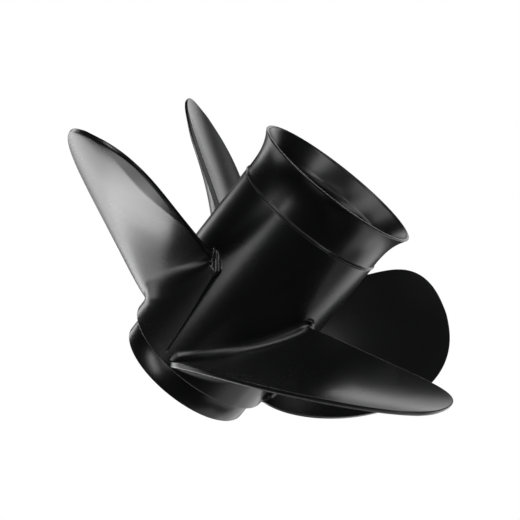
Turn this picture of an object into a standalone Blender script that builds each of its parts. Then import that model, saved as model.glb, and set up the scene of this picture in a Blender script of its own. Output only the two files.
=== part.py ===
"""Four-blade outboard motor propeller with a through-hub exhaust.

Metres, +Z up. The part stands on its front end: the hub axis is +Z, the front
face of the hub is at z = 0 and the flared rear end is on top. Turned pieces
are profiles with a Screw modifier. The blades are lofts between unlike
sections, each wrapped on a cylinder round the hub axis. The pieces of the one
casting keep a small gap where they touch.
"""

import math

import bmesh
import bpy
from mathutils import Matrix, Vector

# Gap that touching pieces keep.
GAP = 0.0003

# Turned pieces.
SIDES = 96
SMALL_SIDES = 48
ARC_STEPS = 4

# Hub, outside. The front collar is smaller, and the barrel tapers to the rear.
COLLAR_RADIUS = 0.0375
COLLAR_LENGTH = 0.0130
COLLAR_ROUNDING = 0.0016
BARREL_FRONT_RADIUS = 0.0413
BARREL_REAR_RADIUS = 0.0408
BARREL_EDGE_ROUNDING = 0.0008
BARREL_REAR = 0.1090

# Rear ring, flared like the mouth of a bell.
RING_FRONT_RADIUS = 0.0412
RING_WAIST_RADIUS = 0.0406
RING_MOUTH_RADIUS = 0.0454
RING_STEP_LENGTH = 0.0012
RING_FLARE_POWER = 3.0
RING_FLARE_STEPS = 8
HUB_LENGTH = 0.1322
MOUTH_ROUNDING = 0.0009
MOUTH_INNER_RADIUS = 0.0419
LEDGE_RADIUS = 0.0367
LEDGE_HEIGHT = 0.1195

# Hub, inside. The exhaust passage widens to the rear as a casting does.
PASSAGE_FRONT_RADIUS = 0.0335
PASSAGE_REAR_RADIUS = 0.0367

# Inner hub, rubber bushing and splined sleeve.
INNER_HUB_RADIUS = 0.0250
INNER_HUB_BORE = 0.0200
INNER_HUB_FRONT = 0.0030
INNER_HUB_REAR = 0.0960
BUSHING_FRONT = 0.0080
BUSHING_REAR = 0.0880
BUSHING_BORE = 0.0145
SLEEVE_FRONT = 0.0040
SLEEVE_REAR = 0.0940
SLEEVE_RADIUS = 0.0142
SPLINE_ROOT_RADIUS = 0.0112
SPLINE_TIP_RADIUS = 0.0100
SPLINE_TEETH = 15
SPLINE_TOOTH_SHARE = 0.45

# Ribs between the inner hub and the barrel.
RIB_COUNT = 4
RIB_THICKNESS = 0.0050
RIB_FRONT = 0.0060
RIB_REAR = 0.0930
RIB_TURN = math.radians(45.0)

# Blades, on cylinders round the hub axis from the root to the tip.
BLADE_COUNT = 4
PROPELLER_RADIUS = 0.1324
PITCH = 0.3090
ROOT_MIDDLE_ANGLE = math.radians(-68.4)
ROOT_MIDDLE_HEIGHT = 0.0428
ROOT_HALF_CHORD = 0.0345
CHORD_GROWTH = (1.555, -0.629, 0.887)
TIP_ROUNDNESS = 1.46
SWEEP_START = 0.0024
SWEEP_TIP = 0.0456
RAKE_ANGLE = math.radians(17.9)
RAKE_TIP = 0.0071

# Blade thickness, and how far its middle bulges forwards.
ROOT_THICKNESS = 0.0105
TIP_THICKNESS = 0.0026
ROOT_EDGE_THICKNESS = 0.0028
TIP_EDGE_THICKNESS = 0.0019
THICKEST_PLACE = 0.10
EDGE_BLUNTNESS = 24
CAMBER_ROOT = 0.0030
CAMBER_TIP = 0.0010

# Cup: the trailing edge is bent to the rear. It narrows with the blade at the tip.
CUP_WIDTH = 0.0110
CUP_DEPTH = 0.0018
TIP_CUP_WIDTH = 0.0001

# Fillet at the root. It goes round the trailing edge and runs out at the leading edge.
ROOT_FILLET = 0.0050
FILLET_PAST_LEADING_EDGE = 0.2
FILLET_PAST_TRAILING_EDGE = 1.0

# Blade mesh.
BLADE_STATIONS = 17
FILLET_STATIONS = 5
CHORD_STEPS = 14
CAP_STEPS = 4


def clear_scene():
    for item in list(bpy.data.objects):
        bpy.data.objects.remove(item, do_unlink=True)


def make_collection(name):
    collection = bpy.data.collections.new(name)
    bpy.context.scene.collection.children.link(collection)
    return collection


def make_material(name, color, roughness, metallic):
    material = bpy.data.materials.new(name)
    material.use_nodes = True
    shader = material.node_tree.nodes["Principled BSDF"]
    shader.inputs["Base Color"].default_value = (*color, 1.0)
    shader.inputs["Roughness"].default_value = roughness
    shader.inputs["Metallic"].default_value = metallic
    return material


def add_object(name, mesh, collection, material):
    item = bpy.data.objects.new(name, mesh)
    item.data.materials.clear()
    item.data.materials.append(material)
    collection.objects.link(item)
    return item


def arc(center_r, center_z, radius, start, end):
    """Points of an arc in the profile plane, angles in degrees from +X."""
    points = []
    for step in range(ARC_STEPS + 1):
        angle = math.radians(start + (end - start) * step / ARC_STEPS)
        points.append((center_r + radius * math.cos(angle), center_z + radius * math.sin(angle)))
    return points


def turned(name, profile, sides, collection, material):
    """Turn a closed profile, given down its outer side and up its inner side."""
    mesh = bpy.data.meshes.new(name)
    vertices = [(radius, 0.0, height) for radius, height in profile]
    count = len(vertices)
    mesh.from_pydata(vertices, [(index, (index + 1) % count) for index in range(count)], [])
    item = add_object(name, mesh, collection, material)
    screw = item.modifiers.new("Turn", "SCREW")
    screw.angle = math.tau
    screw.steps = sides
    screw.render_steps = sides
    screw.use_merge_vertices = True
    screw.merge_threshold = 0.00001
    screw.use_smooth_shade = True
    return item


def passage_radius(height):
    """Radius of the exhaust passage at a height above the front face."""
    share = height / LEDGE_HEIGHT
    return PASSAGE_FRONT_RADIUS + (PASSAGE_REAR_RADIUS - PASSAGE_FRONT_RADIUS) * share


def barrel_radius(height):
    """Outer radius of the barrel at a height above the front face."""
    share = (height - COLLAR_LENGTH) / (BARREL_REAR - COLLAR_LENGTH)
    return BARREL_FRONT_RADIUS + (BARREL_REAR_RADIUS - BARREL_FRONT_RADIUS) * share


def ring_flare():
    """Outside of the rear ring, from below the mouth down to its waist."""
    low = BARREL_REAR + GAP + RING_STEP_LENGTH
    high = HUB_LENGTH - MOUTH_ROUNDING
    points = []
    for step in range(RING_FLARE_STEPS, -1, -1):
        share = step / RING_FLARE_STEPS
        widening = (RING_MOUTH_RADIUS - RING_WAIST_RADIUS) * share ** RING_FLARE_POWER
        points.append((RING_WAIST_RADIUS + widening, low + (high - low) * share))
    return points


def add_front_collar(collection, material):
    top = COLLAR_LENGTH - GAP
    outer = COLLAR_RADIUS - COLLAR_ROUNDING
    profile = [(COLLAR_RADIUS, top)]
    profile += arc(outer, COLLAR_ROUNDING, COLLAR_ROUNDING, 0.0, -90.0)
    profile += [(passage_radius(0.0), 0.0), (passage_radius(top), top)]
    return turned("front_collar", profile, SIDES, collection, material)


def add_hub_barrel(collection, material):
    edge = BARREL_EDGE_ROUNDING
    profile = [(BARREL_REAR_RADIUS, BARREL_REAR)]
    profile += arc(BARREL_FRONT_RADIUS - edge, COLLAR_LENGTH + edge, edge, 0.0, -90.0)
    profile += [
        (passage_radius(COLLAR_LENGTH), COLLAR_LENGTH),
        (passage_radius(BARREL_REAR), BARREL_REAR),
    ]
    return turned("hub_barrel", profile, SIDES, collection, material)


def add_diffuser_ring(collection, material):
    low = BARREL_REAR + GAP
    mouth = MOUTH_ROUNDING
    top = HUB_LENGTH - mouth
    profile = arc(MOUTH_INNER_RADIUS + mouth, top, mouth, 180.0, 90.0)
    profile += arc(RING_MOUTH_RADIUS - mouth, top, mouth, 90.0, 0.0)
    profile += ring_flare()[1:]
    profile += [
        (RING_FRONT_RADIUS, low + RING_STEP_LENGTH / 2.0),
        (RING_FRONT_RADIUS, low),
        (passage_radius(low), low),
        (LEDGE_RADIUS, LEDGE_HEIGHT),
    ]
    return turned("diffuser_ring", profile, SIDES, collection, material)


def add_inner_hub(collection, material):
    profile = [
        (INNER_HUB_RADIUS, INNER_HUB_REAR),
        (INNER_HUB_RADIUS, INNER_HUB_FRONT),
        (INNER_HUB_BORE, INNER_HUB_FRONT),
        (INNER_HUB_BORE, INNER_HUB_REAR),
    ]
    return turned("inner_hub", profile, SMALL_SIDES, collection, material)


def add_rubber_bushing(collection, material):
    outer = INNER_HUB_BORE - GAP
    profile = [
        (outer, BUSHING_REAR),
        (outer, BUSHING_FRONT),
        (BUSHING_BORE, BUSHING_FRONT),
        (BUSHING_BORE, BUSHING_REAR),
    ]
    return turned("rubber_bushing", profile, SMALL_SIDES, collection, material)


def spline_outline():
    """Bore outline of the sleeve: flat-topped teeth pointing at the axis."""
    points = []
    pitch_angle = math.tau / SPLINE_TEETH
    half_tooth = pitch_angle * SPLINE_TOOTH_SHARE / 2.0
    flank = half_tooth * 1.4
    for tooth in range(SPLINE_TEETH):
        middle = tooth * pitch_angle
        points.append((SPLINE_ROOT_RADIUS, middle - flank))
        points.append((SPLINE_TIP_RADIUS, middle - half_tooth))
        points.append((SPLINE_TIP_RADIUS, middle + half_tooth))
        points.append((SPLINE_ROOT_RADIUS, middle + flank))
    return points


def add_splined_sleeve(collection, material):
    """A tube whose round outside and splined bore have one point to one point."""
    mesh = bpy.data.meshes.new("splined_sleeve")
    loft = bmesh.new()
    rings = []
    outline = spline_outline()
    for height in (SLEEVE_FRONT, SLEEVE_REAR):
        inner = []
        outer = []
        for radius, angle in outline:
            direction = Vector((math.cos(angle), math.sin(angle), 0.0))
            level = Vector((0.0, 0.0, height))
            inner.append(loft.verts.new(direction * radius + level))
            outer.append(loft.verts.new(direction * SLEEVE_RADIUS + level))
        rings.append((inner, outer))
    (front_inner, front_outer), (rear_inner, rear_outer) = rings
    bridge_rings(loft, front_outer, rear_outer)
    bridge_rings(loft, rear_outer, rear_inner)
    bridge_rings(loft, rear_inner, front_inner)
    bridge_rings(loft, front_inner, front_outer)
    loft.to_mesh(mesh)
    loft.free()
    return add_object("splined_sleeve", mesh, collection, material)


def bridge_rings(loft, first, second):
    """Join two closed rings of the same number of points with quads."""
    count = len(first)
    for index in range(count):
        after = (index + 1) % count
        loft.faces.new((first[index], first[after], second[after], second[index]))


def add_rib(index, collection, material):
    """A flat web from the inner hub to the barrel, as wide as the passage."""
    start = INNER_HUB_RADIUS + GAP
    bpy.ops.mesh.primitive_cube_add(size=1.0)
    item = bpy.context.object
    item.name = f"rib_{index + 1}"
    item.data.name = item.name
    half = RIB_THICKNESS / 2.0
    for vertex in item.data.vertices:
        height = RIB_REAR if vertex.co.z > 0.0 else RIB_FRONT
        limit = passage_radius(height) - GAP * 2.0
        reach = math.sqrt(limit ** 2 - half ** 2)
        radius = reach if vertex.co.x > 0.0 else start
        vertex.co = Vector((radius, math.copysign(half, vertex.co.y), height))
    turn = Matrix.Rotation(RIB_TURN + math.tau * index / RIB_COUNT, 4, "Z")
    item.matrix_world = turn
    for owner in list(item.users_collection):
        owner.objects.unlink(item)
    collection.objects.link(item)
    item.data.materials.append(material)
    return item


def half_chord(share):
    """Half the blade's width at a share of the way from root to tip."""
    first, second, third = CHORD_GROWTH
    growth = 1.0 + first * share + second * share ** 2 + third * share ** 3
    return ROOT_HALF_CHORD * growth * math.sqrt(max(1.0 - share ** TIP_ROUNDNESS, 0.0))


def sweep(share):
    """How far the section trails behind the root's, along the helix."""
    return SWEEP_START * share + SWEEP_TIP * share ** 2


def rake(share):
    """How far the section leans to the rear of the root's."""
    reach = (PROPELLER_RADIUS - BARREL_FRONT_RADIUS) * share
    return math.tan(RAKE_ANGLE) * reach + RAKE_TIP * share ** 3


def blend(first, second, share):
    return first + (second - first) * share


def fillet_growth(lift):
    """How far the root fillet spreads at a distance above the barrel."""
    if lift >= ROOT_FILLET:
        return 0.0
    return ROOT_FILLET - math.sqrt(ROOT_FILLET ** 2 - (ROOT_FILLET - lift) ** 2)


def blade_thickness(share, place):
    """Thickness of the section, thickest near the middle of the chord."""
    edge = blend(ROOT_EDGE_THICKNESS, TIP_EDGE_THICKNESS, share)
    thickest = blend(ROOT_THICKNESS, TIP_THICKNESS, math.sqrt(share))
    side = 1.0 if place > THICKEST_PLACE else -1.0
    offset = (place - THICKEST_PLACE) / (side - THICKEST_PLACE)
    return blend(thickest, edge, offset ** 2)


def middle_line(share, place, width):
    """Bulge to the front, with the cup, from the line between both edges."""
    bulge = -blend(CAMBER_ROOT, CAMBER_TIP, share) * (1.0 - place ** 2)
    cup_width = max(min(CUP_WIDTH, 2.0 * width), TIP_CUP_WIDTH)
    cup_depth = CUP_DEPTH * min(4.0 * share, 1.0) * (cup_width / CUP_WIDTH) ** 2
    from_rear_edge = (1.0 + place) * width
    bend = max(1.0 - from_rear_edge / cup_width, 0.0) ** 2
    return bulge + cup_depth * (bend - (1.0 - place) / 2.0)


def section_point(share, lift, place, side):
    """A point of the blade on the cylinder at this share of the span.

    place runs from -1 at the trailing edge to +1 at the leading edge, and
    side is -1 on the front of the blade and +1 on the rear.
    """
    radius = BARREL_FRONT_RADIUS + share * (PROPELLER_RADIUS - BARREL_FRONT_RADIUS)
    slope = math.atan(PITCH / (math.tau * radius))
    width = half_chord(share)
    spread = fillet_growth(lift)
    past_edge = FILLET_PAST_LEADING_EDGE if place > 0.0 else FILLET_PAST_TRAILING_EDGE
    along = place * (width + past_edge * spread) - sweep(share)

    bluntness = math.sqrt(max(1.0 - abs(place) ** EDGE_BLUNTNESS, 0.0))
    half_thickness = (blade_thickness(share, place) / 2.0 + spread) * bluntness
    half_thickness = min(half_thickness, width * bluntness)
    across = middle_line(share, place, width) + side * half_thickness

    turn = (along * math.cos(slope) + across * math.sin(slope)) / radius
    angle = ROOT_MIDDLE_ANGLE - turn
    height = ROOT_MIDDLE_HEIGHT + rake(share)
    height += across * math.cos(slope) - along * math.sin(slope)
    root_share = max(1.0 - lift / ROOT_FILLET, 0.0)
    radius += (barrel_radius(height) - BARREL_FRONT_RADIUS) * root_share
    return Vector((radius * math.cos(angle), radius * math.sin(angle), height))


def blade_stations():
    """Shares of the span, close together in the fillet and near the tip."""
    span = PROPELLER_RADIUS - BARREL_FRONT_RADIUS
    stations = []
    for step in range(FILLET_STATIONS):
        turn = math.radians(90.0) * step / FILLET_STATIONS
        stations.append((GAP + ROOT_FILLET * (1.0 - math.cos(turn))) / span)
    start = (GAP + ROOT_FILLET) / span
    for step in range(BLADE_STATIONS):
        turn = math.radians(90.0) * step / (BLADE_STATIONS - 1)
        stations.append(start + (1.0 - start) * math.sin(turn))
    return stations


def chord_places():
    """Places from the trailing to the leading edge, closer at both edges."""
    places = []
    for step in range(CHORD_STEPS + 1):
        places.append(-math.cos(math.pi * step / CHORD_STEPS))
    return places


def blade_mesh():
    """Loft of closed sections from the barrel out to the tip."""
    span = PROPELLER_RADIUS - BARREL_FRONT_RADIUS
    places = chord_places()
    mesh = bpy.data.meshes.new("blade")
    loft = bmesh.new()
    rings = []
    for share in blade_stations()[:-1]:
        lift = share * span - GAP
        rear = [section_point(share, lift, place, 1.0) for place in places]
        front = [section_point(share, lift, place, -1.0) for place in places[-2:0:-1]]
        rings.append([loft.verts.new(point) for point in rear + front])
    for inner, outer in zip(rings, rings[1:]):
        bridge_rings(loft, inner, outer)
    close_root(loft, rings[0], places)
    tip = loft.verts.new(section_point(1.0, span, 0.0, 0.0))
    last = rings[-1]
    for index, vertex in enumerate(last):
        loft.faces.new((vertex, last[(index + 1) % len(last)], tip))
    bmesh.ops.recalc_face_normals(loft, faces=loft.faces)
    loft.to_mesh(mesh)
    loft.free()
    mesh.shade_smooth()
    return mesh


def close_root(loft, ring, places):
    """Close the root with strips across the blade, so it follows the barrel."""
    count = len(places)
    share = GAP / (PROPELLER_RADIUS - BARREL_FRONT_RADIUS)
    front = [ring[0]] + ring[:count - 2:-1]
    columns = [[ring[0]] * (CAP_STEPS + 1)]
    for index in range(1, count - 1):
        column = [ring[index]]
        for step in range(1, CAP_STEPS):
            side = 1.0 - 2.0 * step / CAP_STEPS
            column.append(loft.verts.new(section_point(share, 0.0, places[index], side)))
        column.append(front[index])
        columns.append(column)
    columns.append([ring[count - 1]] * (CAP_STEPS + 1))
    for column, following in zip(columns, columns[1:]):
        for step in range(CAP_STEPS):
            corners = (column[step], following[step], following[step + 1], column[step + 1])
            loft.faces.new(list(dict.fromkeys(corners)))


def add_blades(collection, material):
    mesh = blade_mesh()
    for index in range(BLADE_COUNT):
        item = add_object(f"blade_{index + 1}", mesh, collection, material)
        item.rotation_euler.z = math.tau * index / BLADE_COUNT


def main():
    clear_scene()
    parts = make_collection("outboard_propeller")
    paint = make_material("black_paint", (0.025, 0.026, 0.028), 0.38, 0.0)
    rubber = make_material("black_rubber", (0.03, 0.03, 0.03), 0.75, 0.0)
    brass = make_material("brass", (0.72, 0.53, 0.24), 0.35, 1.0)
    add_front_collar(parts, paint)
    add_hub_barrel(parts, paint)
    add_diffuser_ring(parts, paint)
    add_inner_hub(parts, paint)
    for index in range(RIB_COUNT):
        add_rib(index, parts, paint)
    add_blades(parts, paint)
    add_rubber_bushing(parts, rubber)
    add_splined_sleeve(parts, brass)


main()
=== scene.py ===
"""Outboard motor propeller: the finish and the fine shapes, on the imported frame.

The turned skins and the blades follow the CAD shapes on a finer mesh. They add
the rounded edges, the bevel along the trailing edges, the feet of the blades,
and the parting crease that runs along the barrel from each blade's trailing
edge to the next blade's leading edge.
"""

import math

import bmesh
import bpy
from mathutils import Matrix, Vector


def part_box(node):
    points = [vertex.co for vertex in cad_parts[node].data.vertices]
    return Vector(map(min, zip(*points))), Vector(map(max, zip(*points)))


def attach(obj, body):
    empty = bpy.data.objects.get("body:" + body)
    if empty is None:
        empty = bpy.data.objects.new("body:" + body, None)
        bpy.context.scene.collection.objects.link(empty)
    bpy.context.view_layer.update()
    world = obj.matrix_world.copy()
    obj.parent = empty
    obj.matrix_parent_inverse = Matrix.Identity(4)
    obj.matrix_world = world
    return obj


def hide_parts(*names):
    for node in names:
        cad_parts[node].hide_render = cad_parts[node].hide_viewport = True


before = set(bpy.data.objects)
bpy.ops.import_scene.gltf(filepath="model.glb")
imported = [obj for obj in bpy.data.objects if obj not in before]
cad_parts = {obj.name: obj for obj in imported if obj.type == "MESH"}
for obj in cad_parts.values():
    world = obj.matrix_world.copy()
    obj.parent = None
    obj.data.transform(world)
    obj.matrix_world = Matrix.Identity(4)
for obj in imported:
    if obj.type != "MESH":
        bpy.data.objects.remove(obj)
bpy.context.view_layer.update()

# Hub, outside. The collar's top reaches into the barrel, and the barrel's front face
# reaches in past the collar.
COLLAR_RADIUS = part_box("front_collar")[1].x
COLLAR_ROUNDING = 0.0006
COLLAR_OVERLAP = 0.0001
STEP_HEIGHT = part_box("hub_barrel")[0].z
STEP_CORNER = 0.0004
STEP_ROUNDING = 0.0007
STEP_FACE_OVERLAP = 0.0005
BARREL_FRONT_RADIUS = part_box("hub_barrel")[1].x
BARREL_REAR_RADIUS = 0.0408

# Rear ring. Its front edge stands proud of the barrel, and its rounding is an arc whose start
# is in degrees. The face of that edge has a ring of points that keeps its shading flat.
RING_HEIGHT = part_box("hub_barrel")[1].z
RING_FRONT_RADIUS = 0.0412
RING_FRONT_ROUNDING = 0.0004
RING_FRONT_ARC_START = 30.0
RING_FACE_EDGE = 0.0010
RING_STEP_LENGTH = 0.0012
RING_WAIST_RADIUS = 0.0406
RING_MOUTH_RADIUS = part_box("diffuser_ring")[1].x
RING_FLARE_POWER = 3.0
MOUTH_ROUNDING = 0.0005
HUB_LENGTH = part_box("diffuser_ring")[1].z

# Hub, inside.
PASSAGE_FRONT_RADIUS = 0.0335
LEDGE_RADIUS = 0.0367
LEDGE_HEIGHT = 0.1195
LEDGE_WIDTH = 0.0006
MOUTH_INNER_RADIUS = 0.0440
MOUTH_FLARE_POWER = 1.2
INNER_HUB_BORE = 0.0200
INNER_HUB_CHAMFER = 0.0008
BUSHING_BORE = 0.0145
BUSHING_HOLLOW = 0.0006

# Splined sleeve. The flanks of its teeth start and end at these shares of the way from the
# middle of a tooth's top to the middle of the root.
SLEEVE_RADIUS = 0.0142
SLEEVE_CHAMFER = 0.0006
SLEEVE_BORE_CHAMFER = 0.0012
SPLINE_ROOT_RADIUS = 0.0112
SPLINE_TIP_RADIUS = 0.0100
SPLINE_TEETH = 15
SPLINE_FLANK = (0.30, 0.68)

# Ribs between the inner hub and the barrel, which reach a little into both.
RIB_COUNT = 4
RIB_TURN = math.radians(45.0)
RIB_THICKNESS = 0.0050
RIB_FILLET = 0.0030
RIB_ROUNDING = 0.0014
RIB_OVERLAP = 0.0002

# Blades, by the CAD's formulas. They are 0.2 mm shorter, so that the fine mesh stays
# inside the CAD box, and the camber flattens out at the tip.
BLADE_COUNT = 4
BLADE_TURN = math.tau / BLADE_COUNT
PROPELLER_RADIUS = 0.13217
BLADE_SPAN = PROPELLER_RADIUS - BARREL_FRONT_RADIUS
PITCH = 0.3090
ROOT_MIDDLE_ANGLE = math.radians(-68.4)
ROOT_MIDDLE_HEIGHT = 0.0428
ROOT_HALF_CHORD = 0.0345
CHORD_GROWTH = (1.555, -0.629, 0.887)
TIP_ROUNDNESS = 1.46
SWEEP_START = 0.0024
SWEEP_TIP = 0.0456
RAKE_ANGLE = math.radians(17.9)
RAKE_TIP = 0.0071
ROOT_THICKNESS = 0.0105
TIP_THICKNESS = 0.0026
ROOT_EDGE_THICKNESS = 0.0028
TIP_EDGE_THICKNESS = 0.0019
THICKEST_PLACE = 0.10
CAMBER_ROOT = 0.0030
CAMBER_TIP = 0.0010
CAMBER_FADE_POWER = 30
EDGE_ROUNDING = 0.0007
EDGE_SQUARENESS = 4.0

# Bevel along the trailing edge, on the front. It starts and is full at these shares of the
# span. The rear is hollow there.
BEVEL_WIDTH = 0.0105
BEVEL_LEAST_WIDTH = 0.0001
BEVEL_SLOPE = 0.19
BEVEL_START = 0.34
BEVEL_FULL = 0.85
BEVEL_TIP_POWER = 6
BEVEL_SOFTNESS = 0.08
REAR_HOLLOW_POWER = 4

# Foot of a blade: the fillets on the rear and on the front.
ROOT_FILLET = 0.0050
REAR_FILLET_LEADING = 0.0020
REAR_FILLET_LEADING_START = 0.88
FRONT_FILLET = 0.0080
FRONT_FILLET_TRAILING = 0.0059
FRONT_FILLET_TRAILING_POWER = 4
FRONT_FILLET_LEADING = 0.0006
FRONT_FILLET_LEADING_POWER = 1.3
TRAILING_FOOT_CORNER = 0.76
TRAILING_FOOT_CORNER_START = 0.735
TRAILING_FOOT_CORNER_POWER = 2.8
ROOT_SKIRT_WIDTH = 0.0008
ROOT_SKIRT_DEPTH = 0.00006

# Foot of a blade: how far it runs on past both edges, and how far it is raised there.
FILLET_PAST_TRAILING_EDGE = 0.0032
SHELF_PAST_TRAILING_EDGE = 0.0042
FOOT_PAST_LEADING_EDGE = 0.0008
REAR_FOOT_PAST_LEADING_EDGE = 0.0022
REAR_FOOT_LEADING_START = 0.75
TRAILING_FOOT_RISE = 0.0019
REAR_TRAILING_RISE = (0.0, 0.0030)
FRONT_TRAILING_RISE = (-0.0020, 0.0030)
LEADING_FOOT_RISE = 0.00025
LEADING_FOOT_RISE_START = 0.9

# Parting crease on the barrel: a wall that fades towards the front, with a fine seam at its
# foot. The barrel falls back to its own radius over an angle called the reach.
CREASE_REAR_ANGLE = math.radians(-116.0)
CREASE_REAR_HEIGHT = 0.0685
CREASE_FRONT_ANGLE = math.radians(-110.4)
CREASE_FRONT_HEIGHT = 0.0185
CREASE_RUN_ON = (-0.2, 1.1)
CREASE_DEPTH = 0.0019
CREASE_DEPTH_POWER = 1.4
CREASE_REAR_END = (0.96, 1.01)
CREASE_WALL_WIDTH = 0.0002
CREASE_FRONT_REACH = math.radians(62.0)
CREASE_REAR_REACH = math.radians(14.0)
CREASE_FALL_START = 0.15
SEAM_DEPTH = 0.00018
SEAM_WIDTH = 0.0005

# Meshes of the turned pieces.
OUTER_SIDES = 256
INNER_HUB_SIDES = 192
BUSHING_SIDES = 160
POINTS_A_TOOTH = 16
ARC_STEPS = 6
COLLAR_ARC_STEPS = 10
MOUTH_ARC_STEPS = 8
RING_FLARE_STEPS = 40
MOUTH_FLARE_STEPS = 12
BUSHING_STEPS = 8

# Mesh of a rib.
RIB_LENGTH_STEPS = 24
RIB_ARC_STEPS = 5
RIB_HEIGHT_STEPS = 8

# Mesh of a blade.
FILLET_STATIONS = 20
BLADE_STATIONS = 84
CHORD_STEPS = 120
OUTLINE_STEP = 0.0005

# Mesh of the barrel. Columns are close together past a crease, and spread evenly before
# the next one. Each row step holds up to the height before it.
WALL_COLUMN_STEP = math.radians(0.15)
WALL_COLUMNS_END = math.radians(4.5)
COLUMN_STEP = math.radians(1.0)
LAST_COLUMNS_ANGLE = math.radians(14.0)
LAST_COLUMNS = 48
BARREL_ROW_STEPS = ((0.0230, 0.00035), (0.0780, 0.0010), (RING_HEIGHT, 0.0030))

# Paint. Scales are in cells to the metre, and the heights of the relief are in metres.
NOISE_SPAN = (0.3, 0.7)
PAINT_COLORS = ((0.0042, 0.0045, 0.0050, 1.0), (0.0064, 0.0066, 0.0070, 1.0))
PAINT_ROUGHNESS = (0.255, 0.295)
PAINT_IOR = 1.5
CLOUD_SCALE = 21.0
CAST_SCALE = 38.0
CAST_HEIGHT = 0.00010
PEEL_SCALE = 620.0
PEEL_HEIGHT = 0.0000022
GRAIN_SCALE = 3200.0
GRAIN_HEIGHT = 0.0000006
SPECK_SCALE = 95.0
SPECK_EDGE = (0.015, 0.045)
SPECK_HEIGHT = 0.00002

# Rubber.
RUBBER_COLORS = ((0.012, 0.012, 0.012, 1.0), (0.028, 0.027, 0.026, 1.0))
RUBBER_ROUGHNESS = (0.62, 0.80)
BLOOM_SCALE = 160.0
SKIN_SCALE = 2400.0
SKIN_HEIGHT = 0.00002

# Brass.
BRASS_COLORS = ((0.60, 0.42, 0.17, 1.0), (0.78, 0.58, 0.28, 1.0))
BRASS_ROUGHNESS = (0.26, 0.44)
TARNISH_SCALE = 120.0
TURNING_SCALE = 900.0
TURNING_DISTORTION = 0.6
TURNING_HEIGHT = 0.000004

# Studio: soft boxes that face the part. Seen from the part, aside is the angle to the right
# of the camera and over is the angle above it, in degrees. Roll is in degrees too.
SOFT_BOX_DISTANCE = 3.0
SOFT_BOXES = {
    "left_wall": dict(aside=-143, over=-32, width=3.35, height=1.30, brightness=0.98, roll=-25),
    "rear_wall": dict(aside=167, over=22, width=3.85, height=1.05, brightness=1.45, roll=38),
    "right_low_wall": dict(aside=156, over=-37, width=2.35, height=1.15, brightness=0.17, roll=-4),
    "white_table": dict(aside=-3, over=-89, width=4.00, height=2.55, brightness=0.98, roll=-9),
    "top_box": dict(aside=6, over=70, width=1.35, height=3.40, brightness=1.90, roll=25),
    "top_front_box": dict(aside=-23, over=40, width=0.95, height=2.90, brightness=2.00, roll=-7),
    "right_box": dict(aside=51, over=18, width=0.67, height=2.35, brightness=4.10, roll=-5),
    "left_box": dict(aside=-53, over=14, width=0.73, height=1.65, brightness=4.85, roll=31),
    "right_strip": dict(aside=90, over=-38, width=5.05, height=0.27, brightness=2.50, roll=5),
    "left_low_card": dict(aside=-115, over=-31, width=1.20, height=4.95, brightness=1.10, roll=14),
    "right_low_card": dict(aside=143, over=-30, width=2.20, height=3.85, brightness=1.45, roll=-4),
    "left_rear_card": dict(aside=-148, over=-9, width=0.69, height=3.85, brightness=2.30, roll=-6),
    "front_card": dict(aside=19, over=12, width=0.53, height=2.70, brightness=1.05, roll=35),
    "right_rear_card": dict(aside=124, over=18, width=0.26, height=0.97, brightness=2.10, roll=-3),
}
WHITE = (1.0, 1.0, 1.0, 1.0)
BLACK = (0.0, 0.0, 0.0, 1.0)
ROOM_BRIGHTNESS = 0.023
FLOOR_RADIUS = 4.0
FLOOR_SIDES = 96
FLOOR_DROP = 0.0005

# Camera, from the photograph.
CAMERA_ELEVATION = math.radians(16.07)
CAMERA_ROLL = math.radians(38.64)
CAMERA_DISTANCE = 0.5286
CAMERA_LENS = 70.51
CAMERA_SENSOR = 36.0
CAMERA_NEAREST = 0.01
CAMERA_AIM = Vector((-0.00647, 0.0, 0.07444))


def blend(first, second, share):
    return first + (second - first) * share


def smooth_step(low, high, value):
    share = min(max((value - low) / (high - low), 0.0), 1.0)
    return share * share * (3.0 - 2.0 * share)


def barrel_radius(height):
    share = (height - STEP_HEIGHT) / (RING_HEIGHT - STEP_HEIGHT)
    return blend(BARREL_FRONT_RADIUS, BARREL_REAR_RADIUS, share)


def passage_radius(height):
    return blend(PASSAGE_FRONT_RADIUS, LEDGE_RADIUS, height / LEDGE_HEIGHT)


def link(name, mesh):
    item = bpy.data.objects.new(name, mesh)
    bpy.context.scene.collection.objects.link(item)
    return item


def stand_for(item, node):
    """Let the piece ride on the part and take the place of its node."""
    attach(item, "root")
    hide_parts(node)


def dress(item, material, node):
    item.data.materials.append(material)
    stand_for(item, node)


def add_copies(first, count, skin, node):
    """Repeat the first of several like pieces round the hub axis."""
    for index in range(1, count):
        item = link(f"{skin}_{index + 1}", first.data.copy())
        item.data.transform(Matrix.Rotation(math.tau * index / count, 4, "Z"))
        stand_for(item, f"{node}_{index + 1}")


def arc(center_r, center_z, radius, start, end, steps=ARC_STEPS):
    """Points of an arc in the profile plane, angles in degrees from +X."""
    points = []
    for step in range(steps + 1):
        angle = math.radians(start + (end - start) * step / steps)
        points.append((center_r + radius * math.cos(angle), center_z + radius * math.sin(angle)))
    return points


def add_ring(loft, height, polar):
    """A level ring of points, each from its radius and its angle."""
    ring = []
    for radius, angle in polar:
        ring.append(loft.verts.new((radius * math.cos(angle), radius * math.sin(angle), height)))
    return ring


def bridge_rings(loft, first, second):
    count = len(first)
    for index in range(count):
        after = (index + 1) % count
        loft.faces.new((first[index], first[after], second[after], second[index]))


def bridge_all_round(loft, rings):
    """Join each ring to the next one, and the last to the first."""
    for index, ring in enumerate(rings):
        bridge_rings(loft, ring, rings[(index + 1) % len(rings)])


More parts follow.
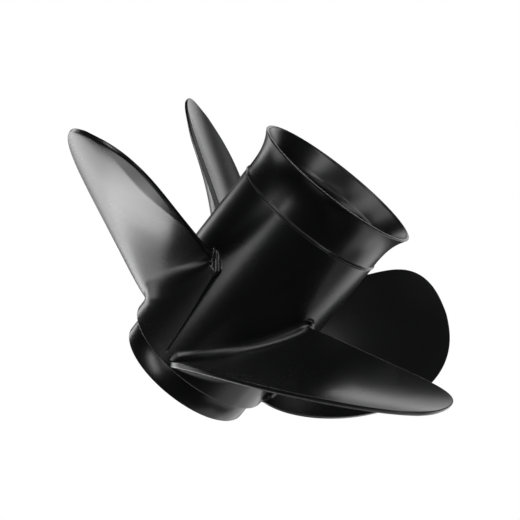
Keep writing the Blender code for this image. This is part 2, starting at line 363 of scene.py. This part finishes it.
def finish_mesh(name, loft):
    bmesh.ops.recalc_face_normals(loft, faces=loft.faces)
    mesh = bpy.data.meshes.new(name)
    loft.to_mesh(mesh)
    loft.free()
    mesh.shade_smooth()
    return link(name, mesh)


def lathe(name, profile, sides):
    """Turn a closed profile, given down its outer side and up its inner side."""
    loft = bmesh.new()
    angles = [math.tau * side / sides for side in range(sides)]
    rings = [add_ring(loft, height, [(radius, angle) for angle in angles]) for radius, height in profile]
    bridge_all_round(loft, rings)
    return finish_mesh(name, loft)


def half_chord(share):
    first, second, third = CHORD_GROWTH
    growth = 1.0 + first * share + second * share ** 2 + third * share ** 3
    return ROOT_HALF_CHORD * growth * math.sqrt(max(1.0 - share ** TIP_ROUNDNESS, 0.0))


def sweep(share):
    return SWEEP_START * share + SWEEP_TIP * share ** 2


def rake(share):
    return math.tan(RAKE_ANGLE) * BLADE_SPAN * share + RAKE_TIP * share ** 3


def blade_thickness(share, place):
    edge = blend(ROOT_EDGE_THICKNESS, TIP_EDGE_THICKNESS, share)
    thickest = blend(ROOT_THICKNESS, TIP_THICKNESS, math.sqrt(share))
    side = 1.0 if place > THICKEST_PLACE else -1.0
    offset = (place - THICKEST_PLACE) / (side - THICKEST_PLACE)
    return blend(thickest, edge, offset ** 2)


def camber(share, place):
    """Bulge of the blade's middle to the front, flat across the chord at the very tip."""
    hollow = 1.0 - share ** CAMBER_FADE_POWER
    return blend(CAMBER_ROOT, CAMBER_TIP, share) * (1.0 - hollow * place ** 2)


def edge_bend(share, place, width, side):
    """How far the face bends to the rear towards the trailing edge.

    The front has a flat bevel along the trailing edge, with a soft corner. It
    starts part of the way out and narrows again at the tip. The rear is hollow.
    """
    started = smooth_step(BEVEL_START, BEVEL_FULL, share)
    narrowed = math.sqrt(max(1.0 - share ** BEVEL_TIP_POWER, 0.0))
    bevel = BEVEL_WIDTH * started * narrowed + BEVEL_LEAST_WIDTH
    across_share = (1.0 - place) / 2.0
    if side > 0.0:
        bend = across_share ** REAR_HOLLOW_POWER
    else:
        inside = 1.0 - (1.0 + place) * width / bevel
        bend = (inside + math.sqrt(inside ** 2 + BEVEL_SOFTNESS ** 2)) / 2.0
    return BEVEL_SLOPE * bevel * (bend - across_share)


def edge_fall(from_edge):
    """Share of the thickness left at a distance in from the blade's outline."""
    inset = max(1.0 - from_edge / EDGE_ROUNDING, 0.0)
    return max(1.0 - inset ** EDGE_SQUARENESS, 0.0) ** (1.0 / EDGE_SQUARENESS)


def fillet_growth(lift, radius):
    """How far a root fillet of this radius spreads at a height above the barrel."""
    if lift < 0.0:
        return radius + ROOT_SKIRT_WIDTH
    depth = max(radius - lift, 0.0)
    return radius - math.sqrt(radius ** 2 - depth ** 2)


def foot_reach(lift, place, side, fall):
    """How far the foot of the blade runs out past its edge at a height above the barrel."""
    if place < 0.0:
        past_edge = FILLET_PAST_TRAILING_EDGE if lift > 0.0 else SHELF_PAST_TRAILING_EDGE
        return fillet_growth(lift, past_edge)
    reach = FOOT_PAST_LEADING_EDGE
    if side > 0.0:
        reach += REAR_FOOT_PAST_LEADING_EDGE * fall * smooth_step(REAR_FOOT_LEADING_START, 1.0, place)
    return fillet_growth(lift, reach)


def foot_spread(lift, place, side):
    """How far the foot of the blade spreads across at a height above the barrel."""
    if side > 0.0:
        from_corner = (-place - TRAILING_FOOT_CORNER_START) / (1.0 - TRAILING_FOOT_CORNER_START)
        corner = max(from_corner, 0.0) ** TRAILING_FOOT_CORNER_POWER
        narrowed = smooth_step(REAR_FILLET_LEADING_START, 1.0, place)
        radius = blend(ROOT_FILLET, REAR_FILLET_LEADING, narrowed)
        return fillet_growth(lift, radius) * (1.0 - TRAILING_FOOT_CORNER * corner)
    if place > 0.0:
        radius = blend(FRONT_FILLET_LEADING, FRONT_FILLET, (1.0 - place ** 2) ** FRONT_FILLET_LEADING_POWER)
    else:
        radius = blend(FRONT_FILLET, FRONT_FILLET_TRAILING, place ** FRONT_FILLET_TRAILING_POWER)
    return fillet_growth(lift, radius)


def foot_rise(place, side, past_edge):
    """How far the ends of the foot stand proud of the barrel."""
    if place < 0.0:
        low, high = REAR_TRAILING_RISE if side > 0.0 else FRONT_TRAILING_RISE
        return TRAILING_FOOT_RISE * smooth_step(low, high, past_edge)
    if side > 0.0:
        return LEADING_FOOT_RISE * smooth_step(LEADING_FOOT_RISE_START, 1.0, place)
    return 0.0


def crease_share(height):
    """Share of the crease's length at a height, from its front end to its rear end."""
    return (height - CREASE_FRONT_HEIGHT) / (CREASE_REAR_HEIGHT - CREASE_FRONT_HEIGHT)


def crease_angle(height):
    low, high = CREASE_RUN_ON
    share = min(max(crease_share(height), low), high)
    return blend(CREASE_FRONT_ANGLE, CREASE_REAR_ANGLE, share)


def angle_past_crease(angle, height):
    """Angle from the nearest crease in the direction of the blade behind it."""
    return (crease_angle(height) - angle) % BLADE_TURN


def crease_rise(angle_past, height):
    """How far the barrel stands proud at an angle past the crease, under the next blade."""
    share = crease_share(height)
    if share <= 0.0 or angle_past <= 0.0:
        return 0.0
    ended = smooth_step(*CREASE_REAR_END, share)
    share = min(share, 1.0)
    depth = CREASE_DEPTH * share ** CREASE_DEPTH_POWER * (1.0 - ended)
    wall = smooth_step(0.0, max(depth, CREASE_WALL_WIDTH), angle_past * BARREL_FRONT_RADIUS)
    reach = blend(CREASE_FRONT_REACH, CREASE_REAR_REACH, share)
    return depth * wall * (1.0 - smooth_step(CREASE_FALL_START, 1.0, angle_past / reach))


def seam_depth(angle_past, height):
    """Depth of the fine groove at the foot of the crease's wall."""
    if height < CREASE_FRONT_HEIGHT or height > CREASE_REAR_HEIGHT:
        return 0.0
    from_seam = min(angle_past, BLADE_TURN - angle_past) * BARREL_FRONT_RADIUS
    return SEAM_DEPTH * max(1.0 - from_seam / SEAM_WIDTH, 0.0)


def section_point(share, lift, place, side, slope_out):
    """A point of the blade on the cylinder at this share of the span.

    place runs from -1 at the trailing edge to +1 at the leading edge, side is
    -1 on the front and +1 on the rear, and slope_out is how fast the outline
    narrows with the radius.
    """
    radius = BARREL_FRONT_RADIUS + share * BLADE_SPAN
    slope = math.atan(PITCH / (math.tau * radius))
    width = half_chord(share)
    fall = edge_fall((1.0 - place ** 2) / 2.0 * width / math.sqrt(1.0 + slope_out ** 2))
    from_middle = place * (width + foot_reach(lift, place, side, fall))
    along = from_middle - sweep(share)

    half_thickness = blade_thickness(share, place) / 2.0 + foot_spread(lift, place, side)
    across = edge_bend(share, place, width, side) - camber(share, place) + side * half_thickness * fall

    turn = (along * math.cos(slope) + across * math.sin(slope)) / radius
    angle = ROOT_MIDDLE_ANGLE - turn
    height = ROOT_MIDDLE_HEIGHT + rake(share)
    height += across * math.cos(slope) - along * math.sin(slope)
    root_share = min(max(1.0 - lift / ROOT_FILLET, 0.0), 1.0)
    rise = crease_rise(angle_past_crease(angle, height), height)
    if lift >= 0.0:
        rise = max(rise, foot_rise(place, side, abs(from_middle) - width))
    radius += (barrel_radius(height) - BARREL_FRONT_RADIUS + rise) * root_share
    radius += min(lift, 0.0)
    return Vector((radius * math.cos(angle), radius * math.sin(angle), height))


def blade_levels():
    """(share of the span, height above the barrel) of each section, root to tip."""
    levels = [(0.0, -ROOT_SKIRT_DEPTH)]
    for step in range(FILLET_STATIONS):
        turn = math.radians(90.0) * step / FILLET_STATIONS
        lift = FRONT_FILLET * (1.0 - math.cos(turn))
        levels.append((lift / BLADE_SPAN, lift))
    start = FRONT_FILLET / BLADE_SPAN
    for step in range(BLADE_STATIONS):
        share = start + (1.0 - start) * math.sin(math.radians(90.0) * step / BLADE_STATIONS)
        levels.append((share, share * BLADE_SPAN))
    return levels


def outline_slope(share):
    """How fast half the chord narrows for each metre of radius."""
    small = min(OUTLINE_STEP, (1.0 - share) / 2.0)
    change = half_chord(share + small) - half_chord(share - small) if share > small else 0.0
    return change / (2.0 * small * BLADE_SPAN)


def cap_section(loft, ring):
    """Close a section of the blade with strips across it."""
    rear = ring[:CHORD_STEPS + 1]
    front = [ring[0]] + ring[:CHORD_STEPS - 1:-1]
    for index in range(1, CHORD_STEPS - 1):
        loft.faces.new((rear[index], rear[index + 1], front[index + 1], front[index]))
    loft.faces.new((rear[0], rear[1], front[1]))
    loft.faces.new((rear[-2], rear[-1], front[-2]))


def make_blade():
    places = [-math.cos(math.pi * step / CHORD_STEPS) for step in range(CHORD_STEPS + 1)]
    loft = bmesh.new()
    rings = []
    for share, lift in blade_levels():
        slope_out = outline_slope(share)
        rear = [section_point(share, lift, place, 1.0, slope_out) for place in places]
        front = [section_point(share, lift, place, -1.0, slope_out) for place in places[-2:0:-1]]
        rings.append([loft.verts.new(point) for point in rear + front])
    for inner, outer in zip(rings, rings[1:]):
        bridge_rings(loft, inner, outer)
    cap_section(loft, rings[0])
    cap_section(loft, rings[-1])
    return finish_mesh("blade_skin_1", loft)


def make_blades(material):
    first = make_blade()
    dress(first, material, "blade_1")
    add_copies(first, BLADE_COUNT, "blade_skin", "blade")


def barrel_columns():
    """Angles past a crease, close together at its wall and towards the next leading edge."""
    columns = []
    angle = 0.0
    while angle < BLADE_TURN - LAST_COLUMNS_ANGLE:
        columns.append(angle)
        angle += WALL_COLUMN_STEP if angle < WALL_COLUMNS_END else COLUMN_STEP
    start = columns[-1] + COLUMN_STEP
    for step in range(LAST_COLUMNS):
        columns.append(blend(start, BLADE_TURN, step / LAST_COLUMNS))
    return columns


def barrel_rows():
    """Heights along the barrel, close together where the crease runs out."""
    rows = []
    height = STEP_HEIGHT + STEP_ROUNDING
    for limit, step in BARREL_ROW_STEPS:
        while height < limit:
            rows.append(height)
            height += step
    rows.append(RING_HEIGHT)
    return rows


def barrel_ring(loft, columns, radius, height, creased):
    """A ring of the barrel, with its columns in line with the creases."""
    polar = []
    for sector in range(BLADE_COUNT):
        for past in columns:
            rise = crease_rise(past, height) - seam_depth(past, height) if creased else 0.0
            polar.append((radius + rise, crease_angle(height) - past - sector * BLADE_TURN))
    return add_ring(loft, height, polar)


def make_barrel(material):
    """The barrel with its creases, as a tube with a wall."""
    columns = barrel_columns()
    levels = [
        (passage_radius(RING_HEIGHT), RING_HEIGHT),
        (passage_radius(STEP_HEIGHT), STEP_HEIGHT),
        (COLLAR_RADIUS - STEP_FACE_OVERLAP, STEP_HEIGHT),
    ]
    edge = STEP_ROUNDING
    levels += arc(BARREL_FRONT_RADIUS - edge, STEP_HEIGHT + edge, edge, -90.0, 0.0)[:-1]
    loft = bmesh.new()
    rings = [barrel_ring(loft, columns, radius, height, False) for radius, height in levels]
    for height in barrel_rows():
        rings.append(barrel_ring(loft, columns, barrel_radius(height), height, True))
    bridge_all_round(loft, rings)
    dress(finish_mesh("barrel_skin", loft), material, "hub_barrel")


def make_collar(material):
    top = STEP_HEIGHT + COLLAR_OVERLAP
    edge = COLLAR_ROUNDING
    profile = [(COLLAR_RADIUS - STEP_CORNER, top), (COLLAR_RADIUS, top - STEP_CORNER)]
    profile += arc(COLLAR_RADIUS - edge, edge, edge, 0.0, -90.0, COLLAR_ARC_STEPS)
    profile += [(passage_radius(0.0), 0.0), (passage_radius(top), top)]
    item = lathe("collar_skin", profile, OUTER_SIDES)
    dress(item, material, "front_collar")


def make_ring(material):
    """The rear ring: rounded lip, flare, raised front edge, and a ledge inside the mouth."""
    low = RING_HEIGHT
    mouth = MOUTH_ROUNDING
    top = HUB_LENGTH - mouth
    profile = arc(MOUTH_INNER_RADIUS + mouth, top, mouth, 180.0, 90.0, MOUTH_ARC_STEPS)
    profile += arc(RING_MOUTH_RADIUS - mouth, top, mouth, 90.0, 0.0, MOUTH_ARC_STEPS)
    for step in range(RING_FLARE_STEPS - 1, -1, -1):
        share = step / RING_FLARE_STEPS
        radius = blend(RING_WAIST_RADIUS, RING_MOUTH_RADIUS, share ** RING_FLARE_POWER)
        profile.append((radius, blend(low + RING_STEP_LENGTH, top, share)))
    edge = RING_FRONT_ROUNDING
    profile += arc(RING_FRONT_RADIUS - edge, low + edge, edge, RING_FRONT_ARC_START, -90.0)
    profile += [(RING_FRONT_RADIUS - RING_FACE_EDGE, low), (passage_radius(low), low)]
    profile += [(LEDGE_RADIUS, LEDGE_HEIGHT)]
    for step in range(1, MOUTH_FLARE_STEPS):
        share = step / MOUTH_FLARE_STEPS
        radius = blend(LEDGE_RADIUS + LEDGE_WIDTH, MOUTH_INNER_RADIUS, share ** MOUTH_FLARE_POWER)
        profile.append((radius, blend(LEDGE_HEIGHT, top, share)))
    item = lathe("ring_skin", profile, OUTER_SIDES)
    dress(item, material, "diffuser_ring")


def make_inner_hub(material):
    low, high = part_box("inner_hub")
    cut = INNER_HUB_CHAMFER
    profile = [
        (high.x - cut, high.z), (high.x, high.z - cut),
        (high.x, low.z + cut), (high.x - cut, low.z),
        (INNER_HUB_BORE + cut, low.z), (INNER_HUB_BORE, low.z + cut),
        (INNER_HUB_BORE, high.z - cut), (INNER_HUB_BORE + cut, high.z),
    ]
    item = lathe("inner_hub_skin", profile, INNER_HUB_SIDES)
    dress(item, material, "inner_hub")


def make_bushing(material):
    """The rubber ring, a little hollow at both ends where it shrank in the mould."""
    low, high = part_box("rubber_bushing")
    rear_end = []
    front_end = []
    for step in range(BUSHING_STEPS + 1):
        share = step / BUSHING_STEPS
        radius = blend(BUSHING_BORE, high.x, share)
        hollow = BUSHING_HOLLOW * math.sin(math.pi * share)
        rear_end.append((radius, high.z - hollow))
        front_end.append((radius, low.z + hollow))
    item = lathe("bushing_skin", rear_end + front_end[::-1], BUSHING_SIDES)
    dress(item, material, "rubber_bushing")


def spline_radius(turn):
    """Bore radius at a share of one tooth's pitch: flat tops, sloping sides, round roots."""
    from_top = abs(turn % 1.0 - 0.5) * 2.0
    return blend(SPLINE_TIP_RADIUS, SPLINE_ROOT_RADIUS, smooth_step(*SPLINE_FLANK, from_top))


def make_sleeve(material):
    """The brass sleeve: round outside, splined bore, chamfered at both ends."""
    low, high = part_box("splined_sleeve")
    cut = SLEEVE_CHAMFER
    count = SPLINE_TEETH * POINTS_A_TOOTH
    angles = [math.tau * index / count for index in range(count)]
    bore = [spline_radius(index / POINTS_A_TOOTH) for index in range(count)]
    mouth = [max(radius, SPLINE_TIP_RADIUS + SLEEVE_BORE_CHAMFER) for radius in bore]
    narrow = [SLEEVE_RADIUS - cut] * count
    full = [SLEEVE_RADIUS] * count
    levels = [
        (high.z, narrow), (high.z - cut, full), (low.z + cut, full), (low.z, narrow),
        (low.z, mouth), (low.z + cut, bore), (high.z - cut, bore), (high.z, mouth),
    ]
    loft = bmesh.new()
    rings = [add_ring(loft, height, zip(radii, angles)) for height, radii in levels]
    bridge_all_round(loft, rings)
    dress(finish_mesh("sleeve_skin", loft), material, "splined_sleeve")


def rib_outline(height, inset):
    """Plan of a rib at a height: straight sides that widen in a fillet at both ends."""
    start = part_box("inner_hub")[1].x - RIB_OVERLAP
    end = passage_radius(height) + RIB_OVERLAP
    points = []
    for step in range(RIB_LENGTH_STEPS + 1):
        share = 0.5 - 0.5 * math.cos(math.pi * step / RIB_LENGTH_STEPS)
        reach = blend(start, end, share)
        near_end = min(reach - start, end - reach)
        depth = max(RIB_FILLET - near_end, 0.0)
        spread = RIB_FILLET - math.sqrt(max(RIB_FILLET ** 2 - depth ** 2, 0.0))
        points.append((reach, RIB_THICKNESS / 2.0 - inset + spread))
    return points


def rib_levels():
    """(height, inset) of each section of a rib, with its front and rear edges rounded."""
    low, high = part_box("rib_1")
    ends = []
    for step in range(RIB_ARC_STEPS + 1):
        angle = math.radians(90.0) * step / RIB_ARC_STEPS
        ends.append((RIB_ROUNDING * (1.0 - math.cos(angle)), RIB_ROUNDING * (1.0 - math.sin(angle))))
    levels = [(low.z + from_end, inset) for from_end, inset in ends]
    for step in range(1, RIB_HEIGHT_STEPS):
        share = step / RIB_HEIGHT_STEPS
        levels.append((blend(low.z + RIB_ROUNDING, high.z - RIB_ROUNDING, share), 0.0))
    levels += [(high.z - from_end, inset) for from_end, inset in reversed(ends)]
    return levels


def make_ribs(material):
    loft = bmesh.new()
    rings = []
    for height, inset in rib_levels():
        plan = rib_outline(height, inset)
        ring = [loft.verts.new((reach, half, height)) for reach, half in plan]
        ring += [loft.verts.new((reach, -half, height)) for reach, half in reversed(plan)]
        rings.append(ring)
    for inner, outer in zip(rings, rings[1:]):
        bridge_rings(loft, inner, outer)
    for ring in (rings[0], rings[-1]):
        left = ring[:RIB_LENGTH_STEPS + 1]
        right = ring[:RIB_LENGTH_STEPS:-1]
        for index in range(RIB_LENGTH_STEPS):
            loft.faces.new((left[index], left[index + 1], right[index + 1], right[index]))
    first = finish_mesh("rib_skin_1", loft)
    first.data.transform(Matrix.Rotation(RIB_TURN, 4, "Z"))
    dress(first, material, "rib_1")
    add_copies(first, RIB_COUNT, "rib_skin", "rib")


def add_shader(name):
    """A new material, with its node tree and its shader."""
    material = bpy.data.materials.new(name)
    material.use_nodes = True
    tree = material.node_tree
    return material, tree, tree.nodes["Principled BSDF"]


def add_noise(tree, place, scale, detail):
    noise = tree.nodes.new("ShaderNodeTexNoise")
    noise.inputs["Scale"].default_value = scale
    noise.inputs["Detail"].default_value = detail
    tree.links.new(place, noise.inputs["Vector"])
    return noise.outputs["Fac"]


def add_range(tree, source, span, target):
    """Turn the source's span of values into the target's."""
    spread = tree.nodes.new("ShaderNodeMapRange")
    spread.inputs["From Min"].default_value, spread.inputs["From Max"].default_value = span
    spread.inputs["To Min"].default_value, spread.inputs["To Max"].default_value = target
    tree.links.new(source, spread.inputs["Value"])
    return spread.outputs["Result"]


def add_mottle(tree, shader, cloud, colors, roughness):
    """Let the colour and the roughness drift together over the surface."""
    shade = tree.nodes.new("ShaderNodeMix")
    shade.data_type = "RGBA"
    shade.inputs["A"].default_value, shade.inputs["B"].default_value = colors
    tree.links.new(cloud, shade.inputs["Factor"])
    tree.links.new(shade.outputs["Result"], shader.inputs["Base Color"])
    tree.links.new(add_range(tree, cloud, NOISE_SPAN, roughness), shader.inputs["Roughness"])


def add_bump(tree, height, distance, before=None):
    bump = tree.nodes.new("ShaderNodeBump")
    bump.inputs["Strength"].default_value = 1.0
    bump.inputs["Distance"].default_value = distance
    tree.links.new(height, bump.inputs["Height"])
    if before is not None:
        tree.links.new(before, bump.inputs["Normal"])
    return bump.outputs["Normal"]


def paint():
    """Semi-gloss black spray paint on a casting, with dust specks under the last coat."""
    material, tree, shader = add_shader("black_paint")
    place = tree.nodes.new("ShaderNodeTexCoord").outputs["Object"]
    cast = add_noise(tree, place, CAST_SCALE, detail=2.0)
    peel = add_noise(tree, place, PEEL_SCALE, detail=1.0)
    grain = add_noise(tree, place, GRAIN_SCALE, detail=2.0)
    cloud = add_noise(tree, place, CLOUD_SCALE, detail=3.0)
    dust = tree.nodes.new("ShaderNodeTexVoronoi")
    dust.inputs["Scale"].default_value = SPECK_SCALE
    tree.links.new(place, dust.inputs["Vector"])
    speck = add_range(tree, dust.outputs["Distance"], SPECK_EDGE, (1.0, 0.0))

    add_mottle(tree, shader, cloud, PAINT_COLORS, PAINT_ROUGHNESS)
    normal = add_bump(tree, cast, CAST_HEIGHT)
    normal = add_bump(tree, peel, PEEL_HEIGHT, normal)
    normal = add_bump(tree, grain, GRAIN_HEIGHT, normal)
    normal = add_bump(tree, speck, SPECK_HEIGHT, normal)
    tree.links.new(normal, shader.inputs["Normal"])
    shader.inputs["IOR"].default_value = PAINT_IOR
    return material


def rubber():
    """Moulded black rubber with a dusty bloom."""
    material, tree, shader = add_shader("black_rubber")
    place = tree.nodes.new("ShaderNodeTexCoord").outputs["Object"]
    bloom = add_noise(tree, place, BLOOM_SCALE, detail=3.0)
    skin = add_noise(tree, place, SKIN_SCALE, detail=2.0)
    add_mottle(tree, shader, bloom, RUBBER_COLORS, RUBBER_ROUGHNESS)
    tree.links.new(add_bump(tree, skin, SKIN_HEIGHT), shader.inputs["Normal"])
    return material


def brass():
    """Turned brass: fine rings left by the tool, and dull patches."""
    material, tree, shader = add_shader("brass")
    place = tree.nodes.new("ShaderNodeTexCoord").outputs["Object"]
    tarnish = add_noise(tree, place, TARNISH_SCALE, detail=4.0)
    rings = tree.nodes.new("ShaderNodeTexWave")
    rings.wave_type = "RINGS"
    rings.rings_direction = "Z"
    rings.inputs["Scale"].default_value = TURNING_SCALE
    rings.inputs["Distortion"].default_value = TURNING_DISTORTION
    tree.links.new(place, rings.inputs["Vector"])
    add_mottle(tree, shader, tarnish, BRASS_COLORS, BRASS_ROUGHNESS)
    tree.links.new(add_bump(tree, rings.outputs["Fac"], TURNING_HEIGHT), shader.inputs["Normal"])
    shader.inputs["Metallic"].default_value = 1.0
    return material


def camera_axes():
    """The camera's right, up and backward directions."""
    back = Vector((0.0, -math.cos(CAMERA_ELEVATION), math.sin(CAMERA_ELEVATION)))
    level_up = Vector((0.0, math.sin(CAMERA_ELEVATION), math.cos(CAMERA_ELEVATION)))
    right = math.cos(CAMERA_ROLL) * Vector((1.0, 0.0, 0.0)) + math.sin(CAMERA_ROLL) * level_up
    return right, back.cross(right), back


def frame_matrix(right, up, back, place):
    return Matrix((
        (right.x, up.x, back.x, place.x),
        (right.y, up.y, back.y, place.y),
        (right.z, up.z, back.z, place.z),
        (0.0, 0.0, 0.0, 1.0),
    ))


def add_camera():
    right, up, back = camera_axes()
    data = bpy.data.cameras.new("photo_camera")
    data.sensor_width = CAMERA_SENSOR
    data.lens = CAMERA_LENS
    data.clip_start = CAMERA_NEAREST
    camera = bpy.data.objects.new("photo_camera", data)
    camera.matrix_world = frame_matrix(right, up, back, CAMERA_AIM + back * CAMERA_DISTANCE)
    bpy.context.scene.collection.objects.link(camera)
    bpy.context.scene.camera = camera


def add_soft_box(name, aside, over, width, height, brightness, roll):
    """An area light that faces the part, in the directions of the photograph's frame."""
    right, up, back = camera_axes()
    aside, over, roll = math.radians(aside), math.radians(over), math.radians(roll)
    level = math.cos(aside) * back + math.sin(aside) * right
    outward = math.cos(over) * level + math.sin(over) * up
    across = math.cos(aside) * right - math.sin(aside) * back
    along = outward.cross(across)
    across, along = (
        math.cos(roll) * across + math.sin(roll) * along,
        math.cos(roll) * along - math.sin(roll) * across,
    )
    light = bpy.data.lights.new(name, "AREA")
    light.shape = "RECTANGLE"
    light.size = width
    light.size_y = height
    light.energy = brightness * math.pi * width * height
    item = bpy.data.objects.new(name, light)
    item.matrix_world = frame_matrix(across, along, outward, CAMERA_AIM + outward * SOFT_BOX_DISTANCE)
    item.visible_camera = False
    bpy.context.scene.collection.objects.link(item)


def add_world():
    """White for the camera, and nearly dark for the reflections between the soft boxes."""
    world = bpy.data.worlds.new("studio")
    bpy.context.scene.world = world
    world.use_nodes = True
    nodes = world.node_tree.nodes
    links = world.node_tree.links
    room = nodes["Background"]
    room.inputs["Color"].default_value = WHITE
    room.inputs["Strength"].default_value = ROOM_BRIGHTNESS
    white = nodes.new("ShaderNodeBackground")
    white.inputs["Color"].default_value = WHITE
    paths = nodes.new("ShaderNodeLightPath")
    mixed = nodes.new("ShaderNodeMixShader")
    links.new(paths.outputs["Is Camera Ray"], mixed.inputs["Fac"])
    links.new(room.outputs["Background"], mixed.inputs[1])
    links.new(white.outputs["Background"], mixed.inputs[2])
    links.new(mixed.outputs["Shader"], nodes["World Output"].inputs["Surface"])


def add_floor():
    """A white floor that glows evenly, so that it runs into the white room behind it."""
    loft = bmesh.new()
    bmesh.ops.create_circle(loft, cap_ends=True, radius=FLOOR_RADIUS, segments=FLOOR_SIDES)
    mesh = bpy.data.meshes.new("white_floor")
    loft.to_mesh(mesh)
    loft.free()
    floor = link("white_floor", mesh)
    floor.location.z = -FLOOR_DROP
    material, _, shader = add_shader("white_floor")
    shader.inputs["Base Color"].default_value = BLACK
    shader.inputs["Specular IOR Level"].default_value = 0.0
    shader.inputs["Emission Color"].default_value = WHITE
    shader.inputs["Emission Strength"].default_value = 1.0
    floor.data.materials.append(material)
    floor.visible_diffuse = False
    floor.visible_glossy = False
    floor.visible_shadow = False


black = paint()
black_rubber = rubber()
make_collar(black)
make_barrel(black)
make_ring(black)
make_blades(black)
make_inner_hub(black)
make_ribs(black)
make_bushing(black_rubber)
make_sleeve(brass())
add_camera()
for box_name, box_values in SOFT_BOXES.items():
    add_soft_box(box_name, **box_values)
add_world()
add_floor()
bpy.context.scene.view_settings.view_transform = "Standard"
